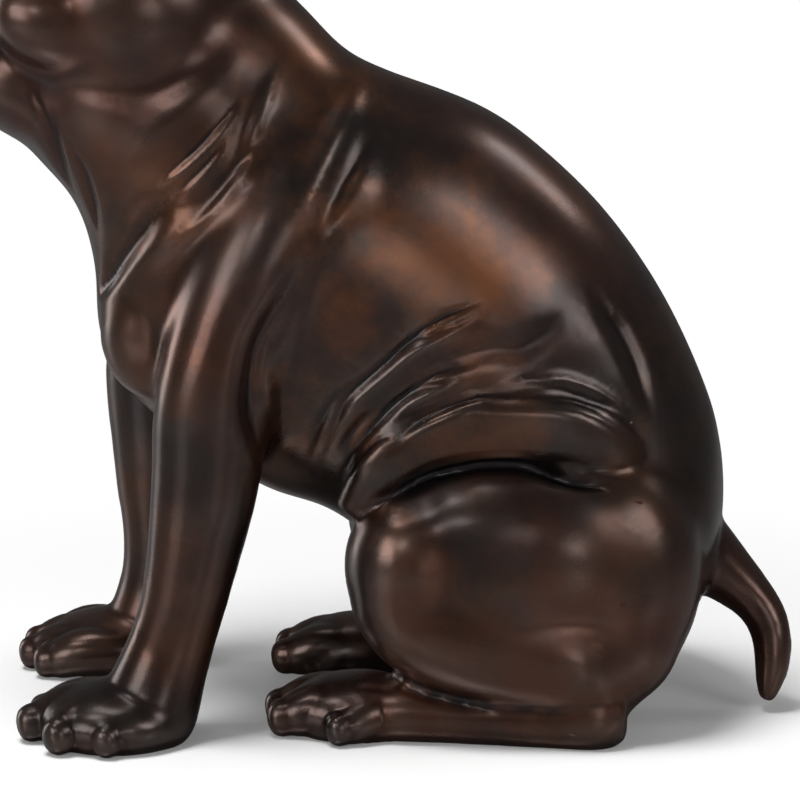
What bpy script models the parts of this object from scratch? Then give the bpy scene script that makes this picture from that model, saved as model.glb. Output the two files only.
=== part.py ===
"""A sitting bulldog, cast in bronze in one piece.

The dog sits upright and faces -X, with +Z up and its left side towards -Y. It stands on the flat
soles of its four feet, and the origin is on the ground below the middle of its length and width.
The form is built up as a sculptor would in clay: a trunk and a head of big masses, then limbs,
paws, tail and rolls of skin, then the lines of the folds are carved in.
"""

from math import cos, pi, radians, sin

import bmesh
import bpy
import numpy as np
from mathutils import Matrix, Vector
from mathutils.bvhtree import BVHTree

# Driving dimension, in metres
HEIGHT = 0.45

# The form keeps its proportions: all places and sizes below are in 450ths of the height
UNIT = HEIGHT / 450

# How finely the clay is worked, in units, and how many faces the cast keeps
TRUNK_GRAIN = 4.5
TRUNK_ROUNDS = 10
SKIN_GRAIN = 3.0
SKIN_ROUNDS = 4
FOLD_ROUNDS = 2
TRIANGLES = 9600

# Bronze with a dark brown patina
BRONZE_COLOUR = (0.075, 0.036, 0.022, 1.0)
BRONZE_ROUGHNESS = 0.38
BRONZE_METALLIC = 0.85

LEFT = -1
RIGHT = 1

# The head's centre, and how far it is turned to the left and raised
HEAD_CENTRE = (-112, -5, 376)
HEAD_TURN = radians(15)
HEAD_RAISE = radians(18)
DEWLAP_RAISE = radians(27)

# Sections of the trunk from the neck to the rump: centre x, y, z, half depth, half width, and
# the tilt of the section's depth above +X in degrees
TRUNK = [
    (-110, -12, 350, 64, 52, 20),
    (-100, -11, 325, 76, 58, 26),
    (-77, -10, 298, 77, 61, 29),
    (-61, -8, 276, 88, 65, 33),
    (-50, -6, 253, 104, 70, 38),
    (-23, -3, 228, 114, 76, 42),
    (19, 0, 198, 111, 77, 49),
    (50.5, 0, 177.5, 103, 75, 47),
    (79, 0, 148, 96.5, 71, 46),
    (105, 0, 116, 88, 70, 47),
    (131, 0, 88, 73, 68, 50),
    (152, 0, 65, 50, 58, 54),
    (164, 0, 50, 24, 34, 60),
]

# Front limbs from the top of the shoulder blade to the wrist, as sections like the trunk's
LEFT_FORELEG = [
    (-16, -46, 303, 20, 16, -28),
    (-34, -57, 268, 29, 26, -28),
    (-52, -63, 234, 30, 28, -22),
    (-65, -66, 200, 29, 26, -12),
    (-74, -68, 168, 28, 25, 0),
    (-76, -68, 142, 27, 24, 0),
    (-79, -69, 118, 25.5, 23, 0),
    (-83, -69, 96, 23.5, 21, 0),
    (-88, -69, 72, 21.5, 20, 0),
    (-95, -69, 50, 22, 19, 0),
    (-102, -70, 32, 24, 21, 0),
    (-107, -71, 14, 25, 26, 0),
    (-108, -71, 5, 24, 25.5, 0),
    (-109, -71, -4, 18, 20, 0),
]
RIGHT_FORELEG = [
    (-42, 46, 300, 20, 16, -28),
    (-58, 57, 266, 29, 26, -28),
    (-78, 63, 234, 30, 28, -22),
    (-93, 66, 200, 29, 26, -12),
    (-106, 68, 168, 29, 25, 0),
    (-107, 68, 142, 28, 24, 0),
    (-107, 68, 118, 26, 23, 0),
    (-107, 68, 96, 24, 21, 0),
    (-106, 68, 72, 22, 20, 0),
    (-107, 68, 50, 22, 19, 0),
    (-111, 67, 32, 24, 21, 0),
    (-115, 66, 14, 25, 26, 0),
    (-116, 66, 5, 24, 25.5, 0),
    (-117, 66, -4, 18, 20, 0),
]

# One hind limb: the foot from behind the toes to the hock, then the shin from the knee to the
# hock, with y measured outwards
HIND_FOOT = [
    (2, 58, 12, 14, 20, 90),
    (14, 61, 13, 16.5, 23, 90),
    (36, 63, 13, 17, 23, 90),
    (62, 66, 12, 17, 22.5, 90),
    (92, 71, 12, 18, 22, 90),
    (114, 75, 14, 20, 21, 90),
    (129, 77, 15, 13, 14, 90),
]
SHIN = [
    (4, 60, 82, 24, 27, 60),
    (20, 62, 64, 29, 31, 70),
    (48, 65, 52, 32, 33, 85),
    (84, 67, 46, 34, 32, 90),
    (112, 71, 40, 30, 28, 90),
    (127, 73, 30, 17, 17, 90),
]

# The roll of loose skin that hangs over the top of the thigh, with y measured outwards
HAUNCH_ROLL = [
    (-8, 58, 112, 8, 8, 150),
    (6, 68, 134, 12, 10, 140),
    (30, 70, 153, 16, 10, 115),
    (60, 71, 160, 18, 10, 95),
    (88, 70, 159, 18, 10, 85),
    (112, 65, 150, 16, 11, 60),
    (126, 58, 134, 13, 10, 30),
    (130, 50, 114, 9, 8, 5),
]

# The tail, from the rump to the tip
TAIL = [
    (158, -2, 89, 24, 25, 68),
    (174, -4, 77, 19.5, 20, 66),
    (187, -7, 65.5, 15, 15, 60),
    (197, -10, 55.5, 12, 12.5, 48),
    (203.5, -14, 45.5, 11, 11, 30),
    (206, -18, 35, 10.2, 10, 10),
    (206, -21, 23, 9, 9, -3),
    (204, -23, 12, 6.4, 6.6, -8),
    (203, -24, 5.5, 4, 4.2, -8),
]

# Toes of each paw: x and y of the root, heading towards -Y in degrees, and share of full size
LEFT_FOREPAW = [(-129, -51, 2, 1), (-132, -64.5, 17, 1.08), (-126.5, -71.5, 48, 1.08),
                (-113.5, -73, 68, 1)]
RIGHT_FOREPAW = [(-136, 41, 3, 1), (-145, 55, -2, 1), (-144, 71, -8, 1), (-135, 85, -20, 1)]

# The same with y and the heading measured outwards
HIND_PAW = [(11, 64, 38, 0.95), (-8, 58, 13, 1.08), (-10, 46, 0, 1.05), (-2, 42, -6, 0.85)]

# Folds and creases of the skin. Each has points x, z in the side view, then the height of its
# ridge, the depth of its groove, and its half width at the start and at the end. Beside a ridge
# the groove runs on the left hand of someone who walks along the line in the side view.
FOLDS = [
    # Neck and throat
    ([(-122, 276), (-112, 290), (-98, 304), (-82, 318), (-66, 332), (-56, 346)], 4, 0, 9, 12),
    ([(-94, 278), (-78, 292), (-66, 304), (-55, 317)], 2.2, 1.5, 4, 4),
    ([(-110, 243), (-98, 256), (-86, 265), (-77, 275), (-66, 292), (-59, 304)], 2.4, 1.5, 4, 4),
    ([(-98, 243), (-79, 258), (-68, 269), (-59, 280), (-53, 289), (-45, 322), (-38, 338)],
     3, 2, 4.5, 4.5),
    ([(-132, 214), (-129, 221), (-117, 242), (-103, 262), (-84, 277)], 0, 6, 5, 11),
    ([(-132, 212), (-128, 218), (-107, 240), (-84, 258), (-66, 270)], 2.5, 0, 6, 6),
    ([(-166, 326), (-157, 302), (-151, 284), (-141, 262)], 2.2, 1.5, 5, 4),
    ([(-146, 329), (-134, 323), (-119, 322), (-102, 323), (-88, 327), (-72, 335), (-65, 348)],
     0, 4.5, 12, 11),
    # Shoulder and upper arm
    ([(-6, 322), (-10, 312), (-16, 298), (-26, 282), (-38, 262)], 3, 1.6, 10, 6),
    ([(-26, 246), (-14, 262), (-4, 276), (2, 288), (6, 300)], 2.4, 1.8, 9, 5),
    ([(-44, 270), (-57, 257), (-69, 244), (-76, 232), (-80, 214)], 2.5, 0, 9, 9),
    ([(-22, 256), (-36, 228), (-47, 204), (-51, 186), (-52, 169), (-50, 150), (-46, 126)],
     0, 5, 8, 7),
    ([(-57, 274), (-79, 247), (-96, 220), (-101, 206), (-104, 171)], 0, 3.5, 7, 6),
    # Flank
    ([(-25, 124), (-16, 146), (-9, 160), (-2, 172), (15, 188), (25, 196), (37, 202), (51, 209),
      (62, 218)], 2.6, 2, 4.5, 4),
    ([(-12, 130), (0, 147), (10, 158), (20, 168), (30, 174), (42, 179), (58, 185)],
     2.4, 2, 4.5, 4),
    ([(18, 180), (37, 191), (61, 197), (76, 197), (90, 205), (98, 216)], 0, 2.2, 7, 7),
    # Haunch
    ([(28, 160), (51, 172), (66, 174), (95, 173), (110, 169), (122, 161), (138, 147)],
     0, 2.5, 4, 5),
    ([(58, 176), (76, 181), (88, 181), (98, 180), (110, 175), (122, 168), (136, 158)],
     2, 0, 4, 4),
    ([(2, 116), (13, 123), (27, 131), (42, 136), (57, 139), (76, 139), (88, 137), (100, 133),
      (115, 130), (132, 127)], 0, 5, 4.5, 5),
    ([(100, 232), (110, 208), (117, 193), (125, 176), (137, 156)], 2.2, 0, 9, 7),
    ([(134, 131), (136, 109), (134, 85), (129, 55)], 0, 2.5, 9, 9),
]

# The right side has the same folds, softer, and its front parts lie further forward because the
# chest is turned to the left
RIGHT_FOLD_SHARE = 0.85
CHEST_LEAD = 24
CHEST_START = 20
CHEST_RUN = 60

# Flat soles are cut at the ground
GROUND = 0.0

# Middle of the length and width of the tables' form, where the origin goes
MIDDLE = (5, -2, 0)


def at(x, y, z):
    """A place given in units, in metres."""
    return Vector((x, y, z)) * UNIT


def spline_rows(rows, steps):
    """The rows of a table with smooth rows between them, from Catmull-Rom cubics."""
    rows = np.array(rows, dtype=float)
    padded = np.vstack([2 * rows[0] - rows[1], rows, 2 * rows[-1] - rows[-2]])
    t = np.arange(steps)[:, None] / steps
    spans = []
    for before, start, end, after in zip(padded, padded[1:], padded[2:], padded[3:]):
        spans.append(0.5 * (2 * start + (end - before) * t
                            + (2 * before - 5 * start + 4 * end - after) * t ** 2
                            + (3 * start - before - 3 * end + after) * t ** 3))
    return np.vstack(spans + [rows[-1:]])


def add_loft(clay, sections, sides=24, steps=4):
    """A closed skin over oval sections, each with its depth in the XZ plane, its width along Y."""
    rings = []
    centres = []
    for x, y, z, depth, width, tilt in spline_rows(sections, steps):
        lean = radians(tilt)
        ring = []
        for side in range(sides):
            turn = 2 * pi * side / sides
            reach = depth * cos(turn)
            ring.append(clay.verts.new(at(x + reach * cos(lean), y + width * sin(turn),
                                          z + reach * sin(lean))))
        rings.append(ring)
        centres.append(at(x, y, z))
    for ring, following in zip(rings, rings[1:]):
        for side in range(sides):
            beside = (side + 1) % sides
            clay.faces.new((ring[side], ring[beside], following[beside], following[side]))
    for ring, centre in ((rings[0], centres[0]), (rings[-1], centres[-1])):
        middle = clay.verts.new(centre)
        for side in range(sides):
            clay.faces.new((ring[side], ring[(side + 1) % sides], middle))


def add_lump(clay, centre, radii, frame=Matrix(), turn=0.0, raised=0.0, tilt=0.0):
    """An ellipsoid: turned about its up axis, its front raised, tilted about its long axis."""
    pose = (Matrix.Translation(at(*centre)) @ Matrix.Rotation(turn, 4, "Z")
            @ Matrix.Rotation(raised, 4, "Y") @ Matrix.Rotation(tilt, 4, "X"))
    size = Matrix.Diagonal((*at(*radii), 1))
    bmesh.ops.create_icosphere(clay, subdivisions=3, radius=1, matrix=frame @ pose @ size)


def add_toes(clay, table):
    """The toes of a paw: each is an arched lump with a smaller one for its nail."""
    for x, y, heading, share in table:
        toe = (Matrix.Translation(at(x, y, 0)) @ Matrix.Rotation(radians(heading), 4, "Z")
               @ Matrix.Diagonal((share, share, share, 1)))
        add_lump(clay, (-8, 0, 12), (26, 12.5, 14), toe)
        add_lump(clay, (-25.5, 0, 8.5), (10, 9.5, 10), toe)


def mirrored(sections, side):
    """Sections with their y, measured outwards, taken to one side of the dog."""
    return [(x, side * y, z, depth, width, tilt) for x, y, z, depth, width, tilt in sections]


def head_frame():
    """The head's own frame: its front is -X, its left is -Y, and up is +Z."""
    return (Matrix.Translation(at(*HEAD_CENTRE)) @ Matrix.Rotation(HEAD_TURN, 4, "Z")
            @ Matrix.Rotation(HEAD_RAISE, 4, "Y"))


def trunk_clay():
    """The big masses of the body and head."""
    clay = bmesh.new()
    add_loft(clay, TRUNK, sides=40)
    add_lump(clay, (-161, -17, 314), (47, 36, 25), turn=HEAD_TURN / 2, raised=DEWLAP_RAISE)
    add_loft(clay, LEFT_FORELEG[:8])
    add_loft(clay, RIGHT_FORELEG[:8])
    for side, fore in ((LEFT, 0), (RIGHT, 1)):
        add_lump(clay, (-105 - 3 * fore, side * 30, 197), (26.5, 27, 34))
        add_lump(clay, (71, side * 57, 78), (69, 40, 61))
        add_lump(clay, (26, side * 60, 86), (37, 35, 42))
        add_lump(clay, (66, side * 60, 103), (58, 35, 35))
        add_lump(clay, (121, side * 52, 80), (47, 41, 62))
        add_lump(clay, (121, side * 66, 48), (35, 27, 33))
        add_lump(clay, (104, side * 70, 26), (34, 25, 28))
        add_loft(clay, mirrored(SHIN, side))
    head = head_frame()
    add_lump(clay, (12, 0, 20), (60, 59, 51), head)
    add_lump(clay, (-26, 0, 40), (34, 50, 30), head)
    add_lump(clay, (-42, 0, -10), (36, 42, 28), head)
    for side in (LEFT, RIGHT):
        add_lump(clay, (2, side * 43, -18), (44, 27, 39), head)
        add_lump(clay, (-36, side * 33, -36), (34, 24, 24), head)
        add_lump(clay, (-40, side * 38, 8), (20, 20, 20), head)
    return clay


def add_face(clay):
    """Muzzle, hanging lips, chin, nose, brows, eyes and folded ears, in the head's own frame."""
    head = head_frame()
    add_lump(clay, (-66, 0, -42), (19, 24, 12), head)
    add_lump(clay, (-48, 0, -46), (28, 30, 16), head)
    add_lump(clay, (-82, 0, 4), (10, 17, 11), head)
    add_lump(clay, (-70, 0, 17), (12, 30, 7), head)
    add_lump(clay, (-60, 0, 29), (9, 20, 6), head)
    for side in (LEFT, RIGHT):
        add_lump(clay, (-70, side * 15, -11), (17, 16, 17), head)
        add_lump(clay, (-60, side * 30, -13), (20, 16, 20), head)
        add_lump(clay, (-44, side * 41, -14), (22, 14, 19), head)
        add_lump(clay, (-46, side * 31, 42), (13, 20, 8), head, turn=side * radians(-22),
                 tilt=side * radians(-12))
        add_lump(clay, (-53, side * 32, 27), (9, 10, 9), head)
        add_lump(clay, (-51, side * 36, 14), (12, 17, 5), head, turn=side * radians(-25))
        add_lump(clay, (22, side * 52, 60), (21, 7, 19), head, tilt=side * radians(-35))
        add_lump(clay, (18, side * 66, 67), (19, 10, 6), head)
        add_lump(clay, (12, side * 74, 53), (15, 5, 18), head, tilt=side * radians(12))


def skin_clay(trunk):
    """The trunk with its limbs, paws, tail, face and rolls of skin."""
    clay = bmesh.new()
    clay.from_mesh(trunk)
    add_loft(clay, LEFT_FORELEG[3:])
    add_loft(clay, RIGHT_FORELEG[3:])
    add_toes(clay, LEFT_FOREPAW)
    add_toes(clay, RIGHT_FOREPAW)
    add_lump(clay, (-122, -71, 11), (36, 33, 20))
    add_lump(clay, (-132, 64, 11), (37, 33, 20))
    for side in (LEFT, RIGHT):
        add_loft(clay, mirrored(HIND_FOOT, side))
        add_loft(clay, mirrored(HAUNCH_ROLL, side), sides=16)
        add_lump(clay, (-1, side * 56, 11), (34, 27, 20))
        add_toes(clay, [(x, side * y, -side * heading, share)
                        for x, y, heading, share in HIND_PAW])
    add_loft(clay, TAIL, sides=16)
    add_face(clay)
    return clay


def worked(clay, name, grain, smoothing):
    """One skin over all the overlapping clay, smoothed, as a mesh."""
    mesh = bpy.data.meshes.new(name)
    bmesh.ops.recalc_face_normals(clay, faces=clay.faces)
    clay.to_mesh(mesh)
    clay.free()
    shape = bpy.data.objects.new(name, mesh)
    bpy.context.collection.objects.link(shape)
    remesh = shape.modifiers.new("One skin", "REMESH")
    remesh.mode = "VOXEL"
    remesh.voxel_size = grain * UNIT
    smooth = shape.modifiers.new("Smoothing", "SMOOTH")
    smooth.factor = 0.5
    smooth.iterations = smoothing
    return applied(shape)


def applied(shape):
    """The mesh of an object as its modifiers leave it; the object itself is removed."""
    view = bpy.context.evaluated_depsgraph_get()
    mesh = bpy.data.meshes.new_from_object(shape.evaluated_get(view), depsgraph=view)
    bpy.data.objects.remove(shape)
    return mesh


def vertex_arrays(mesh):
    """Places and normals of a mesh's vertices, as arrays."""
    places = np.empty(len(mesh.vertices) * 3)
    mesh.vertices.foreach_get("co", places)
    normals = np.empty(len(mesh.vertices) * 3, dtype=np.float32)
    mesh.vertex_normals.foreach_get("vector", normals)
    return places.reshape(-1, 3), normals.reshape(-1, 3).astype(float)


def line_on_skin(tree, points, side, steps=8):
    """A smooth line through side-view points, laid on the skin of one side of the dog."""
    laid = []
    for x, z in spline_rows(points, steps):
        hit = tree.ray_cast(at(x, side * 200, z), Vector((0, -side, 0)))[0]
        if hit is not None:
            laid.append(hit)
    return np.array(laid)


def fold_offset(places, normals, line, side, ridge, groove, start_width, end_width):
    """How far the skin moves out at each vertex: a ridge on the line and a groove beside it."""
    reach = 5 * max(start_width, end_width) * UNIT
    near = np.flatnonzero(np.all((places > line.min(axis=0) - reach)
                                 & (places < line.max(axis=0) + reach), axis=1))
    gaps = places[near][:, None, :] - line[None, :, :]
    away = np.linalg.norm(gaps, axis=2)
    closest = away.argmin(axis=1)
    rows = np.arange(len(near))
    across = np.cross(np.gradient(line, axis=0)[closest], gaps[rows, closest])
    hand = -side * np.sign(np.einsum("ij,ij->i", across, normals[near]))
    along = closest / (len(line) - 1)
    fading = np.clip(np.minimum(along, 1 - along) / 0.3, 0, 1)
    fading = fading * fading * (3 - 2 * fading)
    width = (start_width + (end_width - start_width) * along) * UNIT
    apart = hand * away[rows, closest] / width
    facing = np.clip(side * normals[near, 1] + 0.5, 0, 1)
    if groove > 0 and ridge > 0:
        gentle = np.where(apart < 0, apart / 2, apart)
        profile = ridge * np.exp(-gentle ** 2) - groove * np.exp(-((apart - 1.5) / 0.7) ** 2)
    elif ridge > 0:
        profile = ridge * np.exp(-apart ** 2)
    else:
        profile = -groove * np.exp(-apart ** 2)
    moved = np.zeros(len(places))
    moved[near] = profile * UNIT * fading * facing
    return moved


def carve_folds(mesh):
    """Press the folds of the skin into both sides, the right side a little softer."""
    tree = BVHTree.FromPolygons([v.co for v in mesh.vertices],
                                [p.vertices for p in mesh.polygons])
    places, normals = vertex_arrays(mesh)
    moved = np.zeros(len(places))
    for points, *sizes in FOLDS:
        line = line_on_skin(tree, points, LEFT)
        moved += fold_offset(places, normals, line, LEFT, *sizes)
        across = [(x - CHEST_LEAD * min(1, max(0, (CHEST_START - x) / CHEST_RUN)), z)
                  for x, z in points]
        line = line_on_skin(tree, across, RIGHT)
        moved += RIGHT_FOLD_SHARE * fold_offset(places, normals, line, RIGHT, *sizes)
    places += normals * moved[:, None]
    mesh.vertices.foreach_set("co", places.ravel())
    mesh.update()


def cut_soles(mesh):
    """Cut the feet off flat at the ground and close each sole."""
    work = bmesh.new()
    work.from_mesh(mesh)
    everything = work.verts[:] + work.edges[:] + work.faces[:]
    bmesh.ops.bisect_plane(work, geom=everything, dist=UNIT * 0.001, plane_co=(0, 0, GROUND),
                           plane_no=(0, 0, 1), clear_inner=True)
    rims = [edge for edge in work.edges if edge.is_boundary]
    bmesh.ops.edgeloop_fill(work, edges=rims)
    bmesh.ops.triangulate(work, faces=work.faces)
    bmesh.ops.recalc_face_normals(work, faces=work.faces)
    work.to_mesh(mesh)
    work.free()


def bronze():
    """Bronze under a dark brown patina."""
    material = bpy.data.materials.new("Brown patina on bronze")
    material.use_nodes = True
    shader = material.node_tree.nodes["Principled BSDF"]
    shader.inputs["Base Color"].default_value = BRONZE_COLOUR
    shader.inputs["Roughness"].default_value = BRONZE_ROUGHNESS
    shader.inputs["Metallic"].default_value = BRONZE_METALLIC
    return material


def thinned(mesh, triangles):
    """The same skin with softened folds and fewer faces, larger where it is flatter."""
    shape = bpy.data.objects.new("thinning", mesh)
    bpy.context.collection.objects.link(shape)
    mesh.calc_loop_triangles()
    soften = shape.modifiers.new("Softened folds", "SMOOTH")
    soften.factor = 0.5
    soften.iterations = FOLD_ROUNDS
    decimate = shape.modifiers.new("Fewer faces", "DECIMATE")
    decimate.ratio = triangles / len(mesh.loop_triangles)
    return applied(shape)


def build():
    """Make the casting."""
    for old in list(bpy.data.objects):
        bpy.data.objects.remove(old)
    trunk = worked(trunk_clay(), "trunk", TRUNK_GRAIN, TRUNK_ROUNDS)
    skin = worked(skin_clay(trunk), "skin", SKIN_GRAIN, SKIN_ROUNDS)
    carve_folds(skin)
    cast = thinned(skin, TRIANGLES)
    cut_soles(cast)
    cast.transform(Matrix.Translation(-at(*MIDDLE)))
    cast.name = "bulldog"
    cast.shade_smooth()
    cast.materials.clear()
    cast.materials.append(bronze())
    bulldog = bpy.data.objects.new("bulldog", cast)
    bpy.context.collection.objects.link(bulldog)


build()
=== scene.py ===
"""Looks of the sitting bulldog in bronze.

The dog faces -X, with its left side towards -Y and the camera. Its form is worked up as a
sculptor does it: big masses of clay, then limbs, paws and face, then the folds of the skin are
pressed in and the whole is cast as one skin. Places and sizes are in millimetres until the cast.
"""

from math import pi, radians

import bpy
import numpy as np
from mathutils import Matrix, Vector
from mathutils.bvhtree import BVHTree


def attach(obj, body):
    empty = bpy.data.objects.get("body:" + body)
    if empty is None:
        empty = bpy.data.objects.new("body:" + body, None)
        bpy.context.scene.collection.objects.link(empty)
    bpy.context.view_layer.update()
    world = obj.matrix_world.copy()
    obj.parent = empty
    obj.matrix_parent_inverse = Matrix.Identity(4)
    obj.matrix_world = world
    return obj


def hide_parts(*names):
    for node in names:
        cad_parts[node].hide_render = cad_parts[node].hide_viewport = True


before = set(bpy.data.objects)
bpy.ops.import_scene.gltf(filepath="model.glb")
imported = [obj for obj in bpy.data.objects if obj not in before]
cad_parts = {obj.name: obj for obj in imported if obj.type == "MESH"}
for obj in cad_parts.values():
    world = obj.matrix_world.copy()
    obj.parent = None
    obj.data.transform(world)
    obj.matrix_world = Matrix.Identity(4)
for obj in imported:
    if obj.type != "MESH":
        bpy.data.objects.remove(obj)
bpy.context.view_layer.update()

# Trunk: the barrel of the body from the neck to the rump, with the forelegs and the big masses of
# the head, shoulders and haunches. In clay it is one lump after another, pressed together and
# smoothed until no seam shows.

LEFT = -1
RIGHT = 1

# Oval sections: centre x, y, z, half depth, half width, and the tilt of the depth above +X
TRUNK = [
    (-110, -12, 350, 64, 52, 20),
    (-100, -11, 325, 76, 58, 26),
    (-77, -10, 298, 77, 61, 29),
    (-61, -8, 276, 88, 65, 33),
    (-50, -6, 253, 104, 70, 38),
    (-23, -3, 228, 114, 76, 42),
    (19, 0, 198, 111, 77, 49),
    (50.5, 0, 177.5, 103, 75, 47),
    (79, 0, 148, 96.5, 71, 46),
    (105, 0, 116, 88, 70, 47),
    (131, 0, 88, 73, 68, 50),
    (152, 0, 65, 50, 58, 54),
    (164, 0, 50, 24, 34, 60),
]

TRUNK_GRAIN = 4.5
TRUNK_SMOOTHING = 10


def rounded_rows(rows, steps):
    """A table's rows with smooth rows between them: Catmull-Rom cubics through every row."""
    rows = np.array(rows, dtype=float)
    padded = np.vstack([2 * rows[0] - rows[1], rows, 2 * rows[-1] - rows[-2]])
    before, start, end, after = (padded[i:len(padded) - 3 + i, None] for i in range(4))
    t = (np.arange(steps) / steps)[None, :, None]
    spans = 0.5 * (2 * start + (end - before) * t
                   + (2 * before - 5 * start + 4 * end - after) * t ** 2
                   + (3 * start - before - 3 * end + after) * t ** 3)
    return np.vstack([spans.reshape(-1, rows.shape[1]), rows[-1:]])


def closed_rings(rings, place):
    """Points and faces of rings of points, each joined to the next, with a fan at each end."""
    count, sides = rings.shape[:2]
    number = np.arange(count * sides).reshape(count, sides)
    beside = np.roll(number, -1, axis=1)
    walls = np.stack([number[:-1], number[1:], beside[1:], beside[:-1]], axis=-1).reshape(-1, 4)
    first = np.full(sides, count * sides)
    fans = np.vstack([np.stack([first, number[0], beside[0]], axis=-1),
                      np.stack([first + 1, beside[-1], number[-1]], axis=-1)])
    points = np.vstack([rings.reshape(-1, 3), rings[0].mean(axis=0), rings[-1].mean(axis=0)])
    turned = points @ np.array(place.to_3x3()).T + np.array(place.translation)
    return turned, walls, fans


def limb(rows, sides=32, steps=6, place=Matrix()):
    """A skin over a table of oval sections. At angle t round a section, a point is the centre
    plus depth * cos t along the tilted direction of the side view, plus width * sin t in Y."""
    x, y, z, depth, width, tilt = rounded_rows(rows, steps).T[:, :, None]
    t = np.linspace(0, 2 * pi, sides, endpoint=False)
    lean = np.radians(tilt)
    rings = np.stack([x + depth * np.cos(t) * np.cos(lean), y + width * np.sin(t),
                      z + depth * np.cos(t) * np.sin(lean)], axis=-1)
    return closed_rings(rings, place)


def lump(centre, radii, place=Matrix(), turn=0, raised=0, tilt=0):
    """An ellipsoid over latitude and longitude: each radius times the unit sphere's point. It is
    turned about its up axis, its front raised, and tilted about its long axis, in degrees."""
    latitude = np.linspace(-pi / 2, pi / 2, 18)[1:-1, None]
    longitude = np.linspace(0, 2 * pi, 32, endpoint=False)
    rings = np.stack([np.cos(latitude) * np.cos(longitude), np.cos(latitude) * np.sin(longitude),
                      np.sin(latitude) * np.ones_like(longitude)], axis=-1) * radii
    pose = (Matrix.Translation(centre) @ Matrix.Rotation(radians(turn), 4, "Z")
            @ Matrix.Rotation(radians(raised), 4, "Y") @ Matrix.Rotation(radians(tilt), 4, "X"))
    return closed_rings(rings[::-1], place @ pose)


def clay(name, masses):
    """A mesh of overlapping masses."""
    points = np.vstack([mass[0] for mass in masses])
    starts = np.cumsum([0] + [len(mass[0]) for mass in masses])
    faces = []
    for start, (_, walls, fans) in zip(starts, masses):
        faces += (walls + start).tolist() + (fans + start).tolist()
    mesh = bpy.data.meshes.new(name)
    mesh.from_pydata(points, [], faces)
    return mesh


def smoothed_skin(name, masses, grain, smoothing):
    """One skin over all the masses, as fine as the grain, smoothed that many times."""
    shape = bpy.data.objects.new(name, clay(name, masses))
    bpy.context.collection.objects.link(shape)
    remesh = shape.modifiers.new("One skin", "REMESH")
    remesh.mode = "VOXEL"
    remesh.voxel_size = grain
    smooth = shape.modifiers.new("Smoothing", "SMOOTH")
    smooth.factor = 0.5
    smooth.iterations = smoothing
    return finished(shape)


def finished(shape):
    """The mesh of an object as its modifiers leave it; the object itself is removed."""
    view = bpy.context.evaluated_depsgraph_get()
    mesh = bpy.data.meshes.new_from_object(shape.evaluated_get(view), depsgraph=view)
    bpy.data.objects.remove(shape)
    return mesh


def as_mass(mesh):
    """A skin's points and faces, to go on working from. The remesh leaves quads alone."""
    points = np.empty(len(mesh.vertices) * 3)
    mesh.vertices.foreach_get("co", points)
    corners = np.empty(len(mesh.loops), dtype=int)
    mesh.loops.foreach_get("vertex_index", corners)
    return points.reshape(-1, 3), corners.reshape(-1, 4), np.empty((0, 3), dtype=int)


def on_side(rows, side):
    """A table whose y is measured outwards, taken to one side of the dog."""
    return [(x, side * y, *rest) for x, y, *rest in rows]


LEFT_FORELEG = [
    (-16, -46, 303, 21, 17, -28),
    (-34, -57, 268, 30, 27, -28),
    (-52, -63, 234, 31, 29, -22),
    (-65, -66, 200, 30, 27, -12),
    (-74, -68, 168, 29, 26, 0),
    (-76, -68, 142, 28, 25, 0),
    (-79, -69, 118, 26.5, 24, 0),
    (-83, -69, 96, 24.5, 22, 0),
    (-88, -69, 72, 22.5, 21, 0),
    (-95, -69, 50, 23, 20, 0),
    (-102, -70, 32, 25, 22, 0),
    (-107, -71, 14, 26, 27, 0),
    (-108, -71, 5, 25, 26.5, 0),
    (-109, -71, -4, 19, 21, 0),
]
RIGHT_FORELEG = [
    (-42, 46, 300, 21, 17, -28),
    (-58, 57, 266, 30, 27, -28),
    (-78, 63, 234, 31, 29, -22),
    (-93, 66, 200, 30, 27, -12),
    (-106, 68, 168, 30, 26, 0),
    (-107, 68, 142, 29, 25, 0),
    (-107, 68, 118, 27, 24, 0),
    (-107, 68, 96, 25, 22, 0),
    (-106, 68, 72, 23, 21, 0),
    (-107, 68, 50, 23, 20, 0),
    (-111, 67, 32, 25, 22, 0),
    (-115, 66, 14, 26, 27, 0),
    (-116, 66, 5, 25, 26.5, 0),
    (-117, 66, -4, 19, 21, 0),
]

# Shin from the knee to the hock, with y measured outwards
SHIN = [
    (4, 60, 82, 24, 27, 60),
    (20, 62, 64, 29, 31, 70),
    (48, 65, 52, 32, 33, 85),
    (84, 67, 46, 34, 32, 90),
    (112, 71, 40, 30, 28, 90),
    (127, 73, 30, 17, 17, 90),
]

# The head's own frame: its front is -X, its left is -Y, and up is +Z
HEAD = (Matrix.Translation((-112, -5, 376)) @ Matrix.Rotation(radians(15), 4, "Z")
        @ Matrix.Rotation(radians(18), 4, "Y"))

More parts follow.
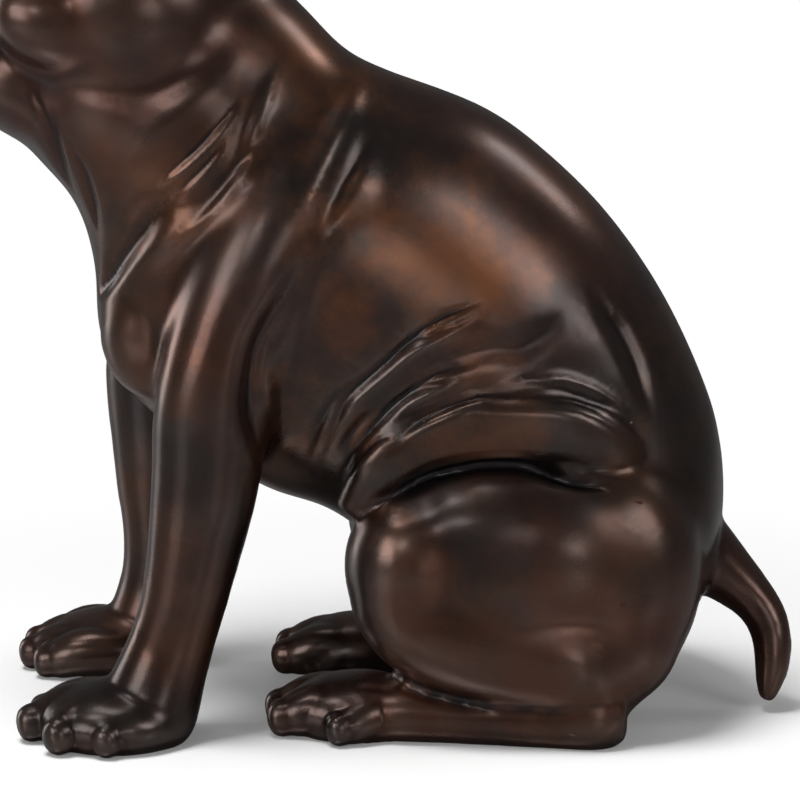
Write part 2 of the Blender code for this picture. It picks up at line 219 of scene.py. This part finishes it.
masses = [
    limb(TRUNK, sides=64),
    # Dewlap
    lump((-161, -17, 314), (47, 36, 25), turn=7.5, raised=27),
    limb(LEFT_FORELEG),
    limb(RIGHT_FORELEG),
    # Skull, forehead and muzzle
    lump((12, 0, 20), (60, 59, 51), HEAD),
    lump((-26, 0, 40), (34, 50, 30), HEAD),
    lump((-42, 0, -10), (36, 42, 28), HEAD),
]
for side, fore in ((LEFT, 0), (RIGHT, 1)):
    masses += [
        # Breast
        lump((-105 - 3 * fore, side * 30, 197), (26.5, 27, 34)),
        # Thigh, knee, buttock and heel
        lump((71, side * 57, 78), (69, 40, 61)),
        lump((26, side * 60, 86), (37, 35, 42)),
        lump((121, side * 52, 80), (47, 41, 62)),
        lump((95, side * 55, 88), (60, 41.5, 55)),
        lump((121, side * 66, 48), (35, 27, 33)),
        lump((66, side * 60, 103), (58, 35, 35)),
        lump((104, side * 66, 28), (34, 25, 28)),
        limb(on_side(SHIN, side)),
        # Cheek, jaw and the bone under the eye
        lump((2, side * 43, -18), (44, 27, 39), HEAD),
        lump((-36, side * 33, -36), (34, 24, 24), HEAD),
        lump((-40, side * 38, 8), (20, 20, 20), HEAD),
    ]
trunk = smoothed_skin("trunk", masses, TRUNK_GRAIN, TRUNK_SMOOTHING)

# Limbs and face masses: the feet and pads, a heavy roll of loose skin over each thigh, the tail
# that hangs in a curve from the rump, and the lips, brows and ears. They are laid on the trunk
# and worked into it.

# Y is measured outwards
HIND_FOOT = [
    (2, 58, 12, 14, 20, 90),
    (14, 61, 13, 16.5, 23, 90),
    (36, 63, 13, 17, 23, 90),
    (62, 66, 12, 17, 22.5, 90),
    (92, 71, 12, 18, 22, 90),
    (114, 75, 14, 20, 21, 90),
    (129, 77, 15, 13, 14, 90),
]
HAUNCH_ROLL = [
    (-8, 58, 112, 8, 8, 150),
    (6, 68, 134, 12, 10, 140),
    (30, 70, 153, 16, 10, 115),
    (60, 71, 160, 18, 10, 95),
    (88, 70, 159, 18, 10, 85),
    (112, 65, 150, 16, 11, 60),
    (126, 58, 134, 13, 10, 30),
    (130, 50, 114, 9, 8, 5),
]
TAIL = [
    (158, -2, 89, 24, 25, 68),
    (174, -4, 77, 19.5, 20, 66),
    (187, -7, 65.5, 15, 15, 60),
    (197, -10, 55.5, 12, 12.5, 48),
    (203.5, -14, 45.5, 11, 11, 30),
    (206, -18, 35, 10.2, 10, 10),
    (206, -21, 23, 9, 9, -3),
    (204, -23, 12, 6.4, 6.6, -8),
    (203, -24, 5.5, 4, 4.2, -8),
]

LIMB_GRAIN = 2.6
LIMB_SMOOTHING = 6

masses = [
    as_mass(trunk),
    limb(TAIL, sides=24),
    lump((-123, -71, 11), (38.5, 35.5, 19.5)),
    lump((-133, 64, 11), (39.5, 35, 19.5)),
]
for side in (LEFT, RIGHT):
    masses += [limb(on_side(rows, side)) for rows in (HIND_FOOT, HAUNCH_ROLL)]
    masses += [
        lump((-3, side * 56, 11), (37, 28, 19.5)),
        # Hanging lip, brow and the pad under the eye
        lump((-60, side * 27, -13), (34, 15, 19), HEAD, turn=side * 40),
        lump((-46, side * 31, 42), (13, 20, 8), HEAD, turn=side * -22, tilt=side * -12),
        lump((-50, side * 36, 13), (13, 18, 7), HEAD, turn=side * -25),
        # Ear, from its root to the tip that folds over
        lump((14, side * 46, 54), (27, 14, 22), HEAD, tilt=side * -30),
        lump((16, side * 56, 60), (24, 14, 14), HEAD, tilt=side * -10),
        lump((18, side * 66, 65), (20, 11, 8), HEAD, tilt=side * 25),
        lump((12, side * 74, 53), (15, 5, 18), HEAD, tilt=side * 12),
    ]
masses += [
    # Lower lip, chin, and the two rolls of skin over the nose
    lump((-66, 0, -42), (19, 24, 12), HEAD),
    lump((-48, 0, -46), (28, 30, 16), HEAD),
    lump((-70, 0, 18), (12, 30, 7), HEAD),
    lump((-60, 0, 30), (9, 22, 6), HEAD),
]
body = smoothed_skin("body", masses, LIMB_GRAIN, LIMB_SMOOTHING)

# Paws: each has a pad and four toes set close together, and each toe ends in a blunt rounded
# nail. A toe arches over its knuckle, and a groove parts the nail from it.

TOE = [
    (18, 0, 12, 9, 10, 90),
    (6, 0, 13, 11.5, 13, 90),
    (-6, 0, 13.5, 12.5, 14, 92),
    (-16, 0, 12.5, 12.2, 13.5, 97),
    (-24, 0, 10.5, 11, 11.5, 96),
    (-28.5, 0, 9.5, 9.3, 9.5, 95),
]
NAIL = [
    (-20, 0, 9, 7.5, 8, 90),
    (-29, 0, 9, 9, 8.4, 92),
    (-33.5, 0, 8.5, 8.6, 7.4, 95),
    (-36.5, 0, 8, 6.5, 5.6, 97),
    (-38, 0, 7.8, 3, 2.8, 98),
]

# Toes of each paw: x and y of the root, heading towards -Y in degrees, and share of full size
LEFT_FOREPAW = [(-129, -51, 2, 1), (-132, -64.5, 17, 1.08), (-126.5, -71.5, 48, 1.08),
                (-113.5, -73, 68, 1)]
RIGHT_FOREPAW = [(-136, 41, 3, 1), (-145, 55, -2, 1), (-144, 71, -8, 1), (-135, 85, -20, 1)]

# The same with y and the heading measured outwards
HIND_PAW = [(11, 64, 38, 0.95), (-8, 58, 13, 1.08), (-10, 46, 0, 1.05), (-2, 42, -6, 0.85)]


def toes(table):
    """Every toe of a paw, with its nail."""
    made = []
    for x, y, heading, share in table:
        place = (Matrix.Translation((x, y, 0)) @ Matrix.Rotation(radians(heading), 4, "Z")
                 @ Matrix.Diagonal((share, share, share, 1)))
        made += [limb(TOE, sides=24, place=place), limb(NAIL, sides=24, place=place)]
    return made


masses = [as_mass(body)]
masses += toes(LEFT_FOREPAW) + toes(RIGHT_FOREPAW)
for side in (LEFT, RIGHT):
    masses += toes([(x, side * y, -side * heading, share) for x, y, heading, share in HIND_PAW])

# Nose and eyes: a wide nose between the lips, and small round eyes under the brows. They stay
# crisp, so they join the skin last.

masses.append(lump((-82, 0, 5), (11, 16, 11), HEAD))
for side in (LEFT, RIGHT):
    masses += [
        # Wing of the nose, and the eye
        lump((-83, side * 10, 2), (8, 7, 8), HEAD),
        lump((-56, side * 29, 25), (10, 10, 8.5), HEAD),
    ]

SKIN_GRAIN = 1.4
SKIN_SMOOTHING = 3
skin = smoothed_skin("skin", masses, SKIN_GRAIN, SKIN_SMOOTHING)

# Folds of skin: loose skin lies in long folds on the neck, behind the shoulder, on the flank and
# the haunch. The sculptor draws each one with a tool: a ridge pushed up, and a groove beside it.

# Each fold: its line as x, z in the side view, its ridge's height, its groove's depth, and its half
# width at the start and the end. The groove is on the left hand of someone who walks along the
# line in that view.
FOLDS = [
    # Neck: the broad soft roll behind the cheek, then crisp folds that run down to the throat
    ([(-122, 276), (-112, 290), (-98, 304), (-82, 318), (-66, 332), (-56, 346)], 1.6, 0, 9, 10),
    ([(-104, 270), (-90, 281), (-76, 293), (-64, 307), (-55, 322)], 1.5, 0.5, 2.2, 2.8),
    ([(-94, 266), (-81, 277), (-70, 289), (-61, 303)], 1.2, 0.4, 2, 2.4),
    ([(-58, 288), (-54, 299), (-49, 311), (-45, 322), (-38, 338)], 1.4, 0, 3.4, 4.4),
    ([(-98, 243), (-79, 258), (-68, 269), (-59, 280), (-53, 289), (-47, 304)], 1.8, 0.2, 3, 3.6),
    ([(-132, 214), (-129, 221), (-117, 242), (-103, 262), (-84, 277)], 0, 6, 5, 11),
    ([(-132, 212), (-128, 218), (-107, 240), (-84, 258), (-66, 270)], 1.6, 0, 7, 7),
    # Throat
    ([(-166, 326), (-157, 302), (-151, 284), (-141, 262)], 2.2, 1.5, 5, 4),
    ([(-147, 298), (-140, 280), (-135, 262), (-131, 243)], 1.6, 1.2, 4, 3.5),
    # Lower border of the cheek
    ([(-146, 329), (-134, 323), (-119, 322), (-102, 323), (-88, 327), (-72, 335), (-65, 348)],
     0, 1.6, 9, 9),
    # Shoulder: two soft folds with a valley between them
    ([(0, 328), (-7, 312), (-14, 298), (-22, 282), (-34, 258)], 2.8, 0, 8, 7),
    ([(-24, 238), (-14, 256), (-6, 270), (0, 282), (7, 300)], 2.2, 0.4, 6, 3.4),
    # Upper arm against the ribs
    ([(-22, 256), (-36, 228), (-47, 204), (-51, 186), (-52, 169), (-50, 150), (-46, 126)],
     0, 6, 9, 8),
    ([(-38, 213), (-45, 201), (-47, 186), (-45, 169), (-41, 143)], 1.2, 0, 4, 4),
    # Flank: pairs of crisp folds that fan out from the groin
    ([(8, 186), (22, 198), (34, 206), (46, 212), (62, 220)], 1.8, 1.5, 2.6, 3),
    ([(-25, 124), (-16, 146), (-9, 160), (-2, 172), (15, 188), (25, 196), (37, 202), (51, 209),
      (62, 218)], 2.4, 1.8, 4, 3),
    ([(16, 167), (25, 175), (34, 180), (44, 184), (58, 188)], 1.6, 1.2, 2.6, 2.6),
    ([(-12, 130), (0, 147), (10, 158), (20, 168), (30, 174), (42, 179), (58, 185)],
     2.2, 1.8, 3.5, 2.8),
    ([(-11, 138), (0, 156), (12, 171)], 1.2, 1, 3, 2.4),
    ([(-8, 130), (3, 144), (17, 156)], 1.2, 1, 3, 2.4),
    ([(-28, 134), (-18, 155), (-9, 171), (4, 187)], 1.4, 1.1, 4, 3),
    ([(16, 150), (25, 157), (37, 164), (51, 170), (68, 176)], 1.3, 1, 2.4, 2.4),
    ([(18, 180), (37, 191), (61, 197), (76, 197), (90, 205), (98, 216)], 0, 2.2, 7, 7),
    # Haunch: the crest of the roll, the folds above it, and the deep crease under it
    ([(3, 131), (13, 143), (25, 153), (37, 160), (51, 168), (66, 170), (85, 170), (102, 167),
      (114, 160), (123, 149), (131, 134)], 1.4, 0, 6, 7),
    ([(28, 160), (51, 172), (66, 174), (95, 173), (110, 169), (122, 161), (138, 147)],
     0, 3, 5, 6),
    ([(58, 176), (76, 181), (88, 181), (98, 180), (110, 175), (122, 168), (136, 158)],
     1.8, 0, 3.5, 3.5),
    ([(4, 122), (13, 129), (27, 135), (42, 140), (57, 143), (71, 144), (86, 141), (103, 136),
      (120, 132), (131, 128)], 1.2, 0, 2.4, 2.4),
    ([(2, 116), (13, 123), (27, 131), (42, 136), (57, 139), (76, 139), (88, 137), (100, 133),
      (115, 130), (132, 127)], 0, 4, 3, 4),
    ([(74, 138), (92, 136), (106, 133), (122, 128)], 0, 4, 4, 6),
    ([(8, 112), (25, 120), (44, 124)], 0, 0.8, 8, 8),
    ([(104, 228), (112, 206), (120, 190), (128, 172), (140, 152)], 1.5, 2, 8, 8),
    ([(134, 131), (136, 109), (134, 85), (129, 55)], 0, 1, 12, 12),
    # Hind foot: the crease over the instep
    ([(12, 28), (32, 25), (52, 22), (72, 19)], 0, 1.5, 4, 4),
]

# The right side has the same folds, softer, and its front parts lie further forward because the
# chest is turned to the left
RIGHT_SHARE = 0.85
CHEST_LEAD = 24
CHEST_START = 20
CHEST_RUN = 60


def skin_arrays(mesh):
    """Places and outward directions of a skin's vertices."""
    places = np.empty(len(mesh.vertices) * 3)
    mesh.vertices.foreach_get("co", places)
    normals = np.empty(len(mesh.vertices) * 3, dtype=np.float32)
    mesh.vertex_normals.foreach_get("vector", normals)
    return places.reshape(-1, 3), normals.reshape(-1, 3).astype(float)


def drawn_line(tree, points, side):
    """A smooth line through side-view points, laid on one side of the skin."""
    hits = [tree.ray_cast(Vector((x, side * 200, z)), Vector((0, -side, 0)))[0]
            for x, z in rounded_rows(points, 14)]
    return np.array([hit for hit in hits if hit is not None])


def pressed(places, normals, line, side, ridge, groove, start_width, end_width):
    """How far a fold moves each vertex out. Across the line, at a distance of d half widths, it
    is ridge * exp(-d^2), twice as wide away from the groove, less groove * exp(-((d - 1.5) /
    0.7)^2) on the groove's side. A fold without a ridge is a groove on the line. The fold
    narrows and fades out towards both of its ends."""
    reach = 5 * max(start_width, end_width)
    near = np.flatnonzero(np.all((places > line.min(axis=0) - reach)
                                 & (places < line.max(axis=0) + reach), axis=1))
    gaps = places[near][:, None, :] - line[None, :, :]
    away = np.linalg.norm(gaps, axis=2)
    closest = away.argmin(axis=1)
    rows = np.arange(len(near))
    across = np.cross(np.gradient(line, axis=0)[closest], gaps[rows, closest])
    hand = -side * np.sign(np.einsum("ij,ij->i", across, normals[near]))
    along = closest / (len(line) - 1)
    fade = np.clip(np.minimum(along, 1 - along) / 0.4, 0, 1)
    fade = fade * fade * (3 - 2 * fade)
    width = (start_width + (end_width - start_width) * along) * (0.6 + 0.4 * fade)
    d = hand * away[rows, closest] / width
    facing = np.clip(side * normals[near, 1] + 0.5, 0, 1)
    if groove > 0 and ridge > 0:
        gentle = np.where(d < 0, d / 2, d)
        height = ridge * np.exp(-gentle ** 2) - groove * np.exp(-((d - 1.5) / 0.7) ** 2)
    elif ridge > 0:
        height = ridge * np.exp(-d ** 2)
    else:
        height = -groove * np.exp(-d ** 2)
    moved = np.zeros(len(places))
    moved[near] = height * fade * facing
    return moved


# Lines of the face in the head's own frame, with y measured outwards: points, depth, half width
FACE_LINES = [
    # Nostrils
    ([(-94, 4, 4), (-93, 8, 7), (-89, 13, 7)], 2.6, 2.2),
    # Wrinkles over the nose, between the eyes and under them
    ([(-84, 4, 16), (-80, 16, 16), (-74, 27, 12)], 1.6, 2.5),
    ([(-70, 2, 25), (-68, 14, 25), (-62, 25, 22)], 2, 2.5),
    ([(-62, 0, 38), (-50, 0, 56), (-30, 0, 70)], 1.6, 4),
    ([(-58, 9, 50), (-50, 22, 57), (-40, 36, 56)], 1.4, 3.5),
    ([(-66, 20, 9), (-58, 34, 4), (-45, 45, 4)], 1.4, 3.5),
    # Whisker rows on the lips
    ([(-82, 22, -10), (-72, 34, -12), (-58, 44, -14)], 0.8, 2),
]


def scored(places, line, depth, width):
    """How deep a line is pressed in at each vertex: depth * exp(-(distance / width)^2), less
    towards both of its ends."""
    near = np.flatnonzero(np.all((places > line.min(axis=0) - 3 * width)
                                 & (places < line.max(axis=0) + 3 * width), axis=1))
    away = np.linalg.norm(places[near][:, None, :] - line[None, :, :], axis=2)
    along = away.argmin(axis=1) / (len(line) - 1)
    fade = np.clip(np.minimum(along, 1 - along) / 0.25, 0.25, 1)
    pressed_in = np.zeros(len(places))
    pressed_in[near] = depth * fade * np.exp(-(away.min(axis=1) / width) ** 2)
    return pressed_in


tree = BVHTree.FromPolygons([v.co for v in skin.vertices], [p.vertices for p in skin.polygons])
places, normals = skin_arrays(skin)
moved = np.zeros(len(places))
for points, *sizes in FOLDS:
    moved += pressed(places, normals, drawn_line(tree, points, LEFT), LEFT, *sizes)
    ahead = [(x - CHEST_LEAD * min(1, max(0, (CHEST_START - x) / CHEST_RUN)), z)
             for x, z in points]
    moved += RIGHT_SHARE * pressed(places, normals, drawn_line(tree, ahead, RIGHT), RIGHT,
                                   *sizes)
for points, depth, width in FACE_LINES:
    for side in (LEFT, RIGHT):
        line = [tree.find_nearest(HEAD @ Vector((x, side * y, z)))[0]
                for x, y, z in rounded_rows(points, 12)]
        moved -= scored(places, np.array(line), depth, width)
places += normals * moved[:, None]
skin.vertices.foreach_set("co", places.ravel())
skin.update()

# Casting: the finished clay is cast in bronze in one piece, with flat soles. From here on, sizes
# are in metres.

TRIANGLES = 192000
MM = 0.001

# Middle of the length and width of the form, which is where the origin goes
MIDDLE = (5, -2, 0)

thinning = bpy.data.objects.new("thinning", skin)
bpy.context.collection.objects.link(thinning)
decimate = thinning.modifiers.new("Fewer faces", "DECIMATE")
decimate.ratio = TRIANGLES / (2 * len(skin.polygons))
cast = finished(thinning)

places, normals = skin_arrays(cast)
places = (places - MIDDLE) * MM
places[:, 2] = np.maximum(places[:, 2], 0)
cast.vertices.foreach_set("co", places.ravel())
cast.name = "bulldog_cast"
cast.update()
cast.shade_smooth()

# How hollow each place is: how far the mean of its surroundings stands out from it
edges = np.empty(len(cast.edges) * 2, dtype=int)
cast.edges.foreach_get("vertices", edges)
edges = edges.reshape(-1, 2)


def surroundings(places, rounds):
    """Places after each has moved that many times to the mean of itself and its neighbours."""
    neighbours = np.bincount(edges.ravel(), minlength=len(places)) + 1
    for _ in range(rounds):
        sums = [np.bincount(edges[:, 0], axis[edges[:, 1]], len(places))
                + np.bincount(edges[:, 1], axis[edges[:, 0]], len(places)) for axis in places.T]
        places = (places + np.stack(sums, axis=1)) / neighbours[:, None]
    return places


# These measures also set how far the painted shade darkens each crease and hollow
for name, rounds, full in (("crease", 6, 0.0009), ("hollow", 60, 0.005)):
    stands_out = np.einsum("ij,ij->i", surroundings(places, rounds) - places, normals) / full
    attribute = cast.attributes.new(name, "FLOAT", "POINT")
    attribute.data.foreach_set("value", np.clip(stands_out, -1, 1).astype(np.float32))

bulldog = bpy.data.objects.new("bulldog_cast", cast)
bpy.context.collection.objects.link(bulldog)
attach(bulldog, "root")
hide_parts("bulldog")

# Patina: brown, mottled with red-brown and orange-brown, and waxed; creases and hollows nearly
# black, partly patina and partly painted shade
patina = bpy.data.materials.new("Waxed brown patina")
patina.use_nodes = True
nodes = patina.node_tree.nodes
links = patina.node_tree.links
shader = nodes["Principled BSDF"]


def add_node(kind, name, inputs=(), **settings):
    """A shader node with its settings and the values of its inputs."""
    made = nodes.new(kind)
    made.name = made.label = name
    for key, value in settings.items():
        setattr(made, key, value)
    for socket, value in dict(inputs).items():
        made.inputs[socket].default_value = value
    return made


def mottling(name, place, scale, detail, low, high):
    """Soft patches: a noise between two levels, from 0 to 1."""
    noise = add_node("ShaderNodeTexNoise", name + " noise",
                     {"Scale": scale, "Detail": detail, "Roughness": 0.6})
    levels = add_node("ShaderNodeMapRange", name,
                      {"From Min": low, "From Max": high}, interpolation_type="SMOOTHSTEP")
    links.new(place, noise.inputs["Vector"])
    links.new(noise.outputs["Fac"], levels.inputs["Value"])
    return levels.outputs["Result"]


def blended(name, amount, under, over, mode="MIX"):
    """One colour over another, by an amount. Either colour may be a value or a node's output."""
    mix = add_node("ShaderNodeMix", name, data_type="RGBA", blend_type=mode)
    for socket, value in (("Factor", amount), ("A", under), ("B", over)):
        target = [s for s in mix.inputs if s.name == socket and s.enabled][0]
        if isinstance(value, bpy.types.NodeSocket):
            links.new(value, target)
        else:
            target.default_value = value
    return [s for s in mix.outputs if s.enabled][0]


def levelled(name, value, low, high, bottom=0.0, top=1.0):
    """A value between two levels, spread from bottom to top."""
    spread = add_node("ShaderNodeMapRange", name,
                      {"From Min": low, "From Max": high, "To Min": bottom, "To Max": top})
    links.new(value, spread.inputs["Value"])
    return spread.outputs["Result"]


place = add_node("ShaderNodeTexCoord", "Place").outputs["Object"]
crease = add_node("ShaderNodeAttribute", "Creases", attribute_name="crease").outputs["Fac"]
hollow = add_node("ShaderNodeAttribute", "Hollows", attribute_name="hollow").outputs["Fac"]

DARK_BROWN = (0.047, 0.032, 0.028, 1)
RED_BROWN = (0.13, 0.052, 0.034, 1)
ORANGE_BROWN = (0.26, 0.088, 0.03, 1)
# Near-black for the creases and hollows: partly patina, partly painted shade
DARK_PATINA_AND_SHADE = (0.015, 0.011, 0.012, 1)
RUBBED = (0.22, 0.17, 0.145, 1)
WARM_FLANK = (0.02, 0, 0.245)

colour = blended("Red-brown patches", mottling("Red patches", place, 9, 6, 0.38, 0.66),
                 DARK_BROWN, RED_BROWN)
side_view = add_node("ShaderNodeVectorMath", "Side view place", {1: (1, 0, 1)},
                     operation="MULTIPLY")
links.new(place, side_view.inputs[0])
from_flank = add_node("ShaderNodeVectorMath", "From the warm flank", {1: WARM_FLANK},
                      operation="DISTANCE")
links.new(side_view.outputs["Vector"], from_flank.inputs[0])
warmth = levelled("Warmth", from_flank.outputs["Value"], 0.05, 0.17, 1, 0.3)
orange = add_node("ShaderNodeMath", "Orange share", operation="MULTIPLY")
links.new(mottling("Orange patches", place, 14, 8, 0.43, 0.66), orange.inputs[0])
links.new(warmth, orange.inputs[1])
colour = blended("Orange-brown patches", orange.outputs[0], colour, ORANGE_BROWN)
# Painted shade: hollows and creases are darkened towards near-black, partly as patina gathered
# there and partly as the shade that falls there
colour = blended("Dark patina and painted shade in hollows", levelled("Hollow patina and shade share", hollow, 0.1, 1.0, 0, 0.8),
                 colour, DARK_PATINA_AND_SHADE)
colour = blended("Dark patina and painted shade in creases", levelled("Crease patina and shade share", crease, 0.05, 0.7, 0, 0.9),
                 colour, DARK_PATINA_AND_SHADE)
colour = blended("Rubbed ridges", levelled("Ridge share", crease, -0.15, -0.9, 0, 0.55),
                 colour, RUBBED)
links.new(colour, shader.inputs["Base Color"])

smudges = levelled("Roughness", mottling("Smudges", place, 22, 8, 0.3, 0.7), 0, 1, 0.25, 0.38)
links.new(smudges, shader.inputs["Roughness"])
shader.inputs["Metallic"].default_value = 0.8
shader.inputs["Coat Weight"].default_value = 0.8
shader.inputs["Coat Roughness"].default_value = 0.24

grain = add_node("ShaderNodeTexNoise", "Cast grain", {"Scale": 260, "Detail": 5, "Roughness": 0.6})
links.new(place, grain.inputs["Vector"])
bump = add_node("ShaderNodeBump", "Cast grain bump", {"Strength": 0.12, "Distance": 0.0006})
links.new(grain.outputs["Fac"], bump.inputs["Height"])
links.new(bump.outputs["Normal"], shader.inputs["Normal"])
cast.materials.clear()
cast.materials.append(patina)

# Studio: a plain white floor that fades into a white backdrop, softboxes where the photograph's
# highlights ask for them, and the camera at the photograph's viewing angle.

FLOOR_HALF = 6.0
across, along = np.meshgrid(np.linspace(-FLOOR_HALF, FLOOR_HALF, 3),
                            np.linspace(-FLOOR_HALF, FLOOR_HALF, 3))
floor_mesh = bpy.data.meshes.new("floor")
floor_mesh.from_pydata(np.stack([across, along, np.zeros_like(across)], axis=-1).reshape(-1, 3),
                       [], [(0, 1, 4, 3), (1, 2, 5, 4), (3, 4, 7, 6), (4, 5, 8, 7)])
floor = bpy.data.objects.new("floor", floor_mesh)
bpy.context.collection.objects.link(floor)

# The camera sees a white sweep that loses its shadows with distance; the bronze mirrors a greyer
# one, as in a studio where black cloth hangs round the stage
SEEN_WHITE = 0.95
SEEN_FILL = 0.12
MIRRORED_GREY = 0.2
SHADOW_REACH = 0.2
WHITE_FROM = 0.5

floor_paint = bpy.data.materials.new("White sweep")
floor_paint.use_nodes = True
nodes = floor_paint.node_tree.nodes
links = floor_paint.node_tree.links
matt = nodes["Principled BSDF"]
matt.inputs["Roughness"].default_value = 0.22
path = add_node("ShaderNodeLightPath", "Ray")
tone = add_node("ShaderNodeMapRange", "Floor tone",
                {"To Min": MIRRORED_GREY, "To Max": SEEN_WHITE})
links.new(path.outputs["Is Camera Ray"], tone.inputs["Value"])
links.new(tone.outputs["Result"], matt.inputs["Base Color"])
fill = add_node("ShaderNodeMath", "Floor fill", operation="MULTIPLY")
links.new(path.outputs["Is Camera Ray"], fill.inputs[0])
fill.inputs[1].default_value = SEEN_FILL
matt.inputs["Emission Color"].default_value = (1, 1, 1, 1)
links.new(fill.outputs[0], matt.inputs["Emission Strength"])
spot = add_node("ShaderNodeTexCoord", "Spot")
distance = add_node("ShaderNodeVectorMath", "Distance from the dog", operation="LENGTH")
links.new(spot.outputs["Object"], distance.inputs[0])
faded = add_node("ShaderNodeMapRange", "Fading to white",
                 {"From Min": SHADOW_REACH, "From Max": WHITE_FROM},
                 interpolation_type="SMOOTHSTEP")
links.new(distance.outputs["Value"], faded.inputs["Value"])
white_share = add_node("ShaderNodeMath", "White share", operation="MULTIPLY")
links.new(faded.outputs["Result"], white_share.inputs[0])
links.new(path.outputs["Is Camera Ray"], white_share.inputs[1])
white = add_node("ShaderNodeEmission", "White")
sweep = add_node("ShaderNodeMixShader", "Sweep")
links.new(white_share.outputs[0], sweep.inputs[0])
links.new(matt.outputs[0], sweep.inputs[1])
links.new(white.outputs[0], sweep.inputs[2])
links.new(sweep.outputs[0], nodes["Material Output"].inputs["Surface"])
floor_mesh.materials.append(floor_paint)

AIM = Vector((0.0, 0.0, 0.2))


def softbox(name, place, width, height, power):
    """A soft area light that points at the dog."""
    light = bpy.data.lights.new(name, "AREA")
    light.shape = "RECTANGLE"
    light.size = width
    light.size_y = height
    light.energy = power
    box = bpy.data.objects.new(name, light)
    box.location = place
    box.rotation_euler = (AIM - box.location).to_track_quat("-Z", "Y").to_euler()
    bpy.context.collection.objects.link(box)


softbox("front right softbox", (1.3, -1.2, 0.98), 0.6, 0.7, 3.8)
softbox("front softbox", (0.5, -1.7, 0.42), 0.4, 0.45, 0.9)
softbox("left softbox", (-1.4, -1.25, 0.7), 0.75, 0.9, 6)
softbox("front left softbox", (-0.7, -1.6, 1.02), 0.3, 0.3, 1.2)
softbox("high left softbox", (-0.85, -0.6, 1.85), 0.4, 0.4, 2)
softbox("top softbox", (-0.3, 0.2, 2.2), 0.9, 0.9, 6.5)
softbox("back right softbox", (1.4, 0.55, 1.5), 0.4, 0.4, 2.3)
softbox("back left softbox", (-1.9, 0.9, 0.5), 0.6, 1.2, 5.5)

# One more lights only the floor, so that it is white round the dog's own shadow
softbox("floor softbox", (-0.5, -0.3, 2.2), 0.8, 0.8, 45)
floor_only = bpy.data.collections.new("floor only")
floor_only.objects.link(floor)
bpy.data.objects["floor softbox"].light_linking.receiver_collection = floor_only

bpy.context.scene.view_settings.view_transform = "Standard"

world = bpy.data.worlds.new("studio")
bpy.context.scene.world = world
world.use_nodes = True
background = world.node_tree.nodes["Background"]
background.inputs["Color"].default_value = (1, 1, 1, 1)
seen = world.node_tree.nodes.new("ShaderNodeLightPath")
strength = world.node_tree.nodes.new("ShaderNodeMapRange")
strength.inputs["To Min"].default_value = 0.07
strength.inputs["To Max"].default_value = 1.0
world.node_tree.links.new(seen.outputs["Is Camera Ray"], strength.inputs["Value"])
world.node_tree.links.new(strength.outputs["Result"], background.inputs["Strength"])

PITCH = radians(12)
DISTANCE = 1.9
TARGET = Vector((0.0125, -0.015, 0.160))
lens = bpy.data.cameras.new("camera")
lens.lens = 171
lens.sensor_width = 36
camera = bpy.data.objects.new("camera", lens)
camera.location = TARGET + DISTANCE * Vector((0, -np.cos(PITCH), np.sin(PITCH)))
camera.rotation_euler = (TARGET - camera.location).to_track_quat("-Z", "Y").to_euler()
bpy.context.collection.objects.link(camera)
bpy.context.scene.camera = camera
